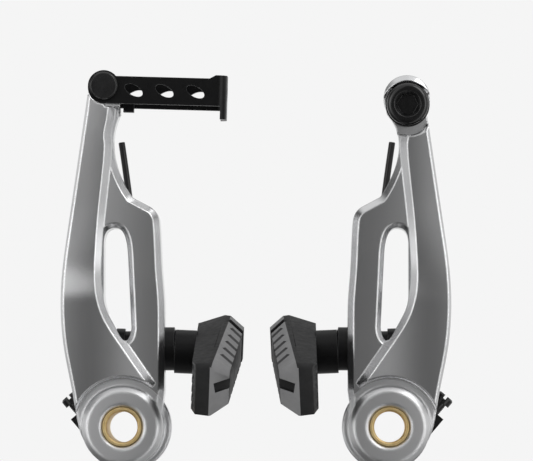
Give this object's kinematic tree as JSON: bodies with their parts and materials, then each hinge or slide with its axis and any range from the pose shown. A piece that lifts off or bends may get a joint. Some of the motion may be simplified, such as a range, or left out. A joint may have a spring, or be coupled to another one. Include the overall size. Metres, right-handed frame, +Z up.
{
  "type": "bicycle linear-pull brake",
  "caption": "Pair of pivoting bicycle brake arms with return springs, adjustable pads, a cable link and a cable anchor.",
  "frame": {"origin": "midway between the two pivot axes, on the plane of the frame posts' shoulders", "axes": "+X to the right as seen from the front, +Y back towards the frame along the pivot axes, +Z up the arms"},
  "size_m": [0.1034, 0.0472, 0.1052],
  "materials": {
    "forged_aluminium": "polished",
    "brass": "machined",
    "black_plastic": "moulded",
    "black_steel": "black oxide",
    "black_anodised": "black anodised",
    "spring_wire": "satin black",
    "bright_steel": "plated",
    "pad_rubber": "moulded"
  },
  "bodies": {
    "post_base": {"left_bushing": "brass", "left_spring_carrier": "black_plastic", "right_bushing": "brass", "right_spring_carrier": "black_plastic"},
    "left_arm": {"left_arm": "forged_aluminium", "left_spring": "spring_wire", "left_spring_peg": "spring_wire", "link_pin": "black_steel"},
    "left_pad_seat": {"left_inner_dome_washer": "black_anodised", "left_outer_dome_washer": "black_anodised"},
    "left_pad": {"left_pad_stud": "bright_steel", "left_pad": "pad_rubber", "left_cup_spacer": "black_anodised", "left_outer_cup_washer": "black_anodised", "left_flat_washer": "black_steel", "left_pad_nut": "black_steel"},
    "left_tension_screw": {"left_tension_screw": "black_steel"},
    "right_arm": {"right_arm": "forged_aluminium", "right_spring": "spring_wire", "right_spring_peg": "spring_wire", "anchor_bolt": "black_steel", "anchor_washer": "black_steel"},
    "right_pad_seat": {"right_inner_dome_washer": "black_anodised", "right_outer_dome_washer": "black_anodised"},
    "right_pad": {"right_pad_stud": "bright_steel", "right_pad": "pad_rubber", "right_cup_spacer": "black_anodised", "right_outer_cup_washer": "black_anodised", "right_flat_washer": "black_steel", "right_pad_nut": "black_steel"},
    "right_tension_screw": {"right_tension_screw": "black_steel"},
    "cable_link": {"cable_link": "black_anodised"}
  },
  "joints": [
    {"name": "left_arm_pivot", "type": "hinge", "parent": "post_base", "child": "left_arm", "pos_m": [-0.035, -0.0117, 0], "axis": [0, 1, 0], "range_deg": [-30, 6], "stiffness_Nm_per_rad": 1.5, "deforming": ["left_spring"]},
    {"name": "left_pad_height", "type": "slide", "parent": "left_arm", "child": "left_pad_seat", "axis": [0, 0, 1], "range_m": [-0.0025, 0.0025]},
    {"name": "left_pad_swivel", "type": "hinge", "parent": "left_pad_seat", "child": "left_pad", "pos_m": [-0.0283, -0.0132, 0.0202], "axis": [0.999, 0, -0.0436], "range_deg": [-25, 10]},
    {"name": "left_tension_turn", "type": "hinge", "parent": "post_base", "child": "left_tension_screw", "pos_m": [-0.0502, -0.0025, 0.0082], "axis": [0.6494, 0, -0.7604], "range_deg": [-180, 180]},
    {"name": "right_arm_pivot", "type": "hinge", "parent": "post_base", "child": "right_arm", "pos_m": [0.035, -0.0117, 0], "axis": [0, -1, 0], "range_deg": [-30, 6], "stiffness_Nm_per_rad": 1.5, "deforming": ["right_spring"]},
    {"name": "right_pad_height", "type": "slide", "parent": "right_arm", "child": "right_pad_seat", "axis": [0, 0, 1], "range_m": [-0.0025, 0.0025]},
    {"name": "right_pad_swivel", "type": "hinge", "parent": "right_pad_seat", "child": "right_pad", "pos_m": [0.0283, -0.0132, 0.0202], "axis": [0.999, 0, 0.0436], "range_deg": [-25, 10]},
    {"name": "right_tension_turn", "type": "hinge", "parent": "post_base", "child": "right_tension_screw", "pos_m": [0.0502, -0.0025, 0.0082], "axis": [-0.6494, 0, -0.7604], "range_deg": [-180, 180]},
    {"name": "link_pivot", "type": "hinge", "parent": "left_arm", "child": "cable_link", "pos_m": [-0.04, -0.015, 0.0895], "axis": [0, -1, 0], "range_deg": [0, 100]}
  ]
}
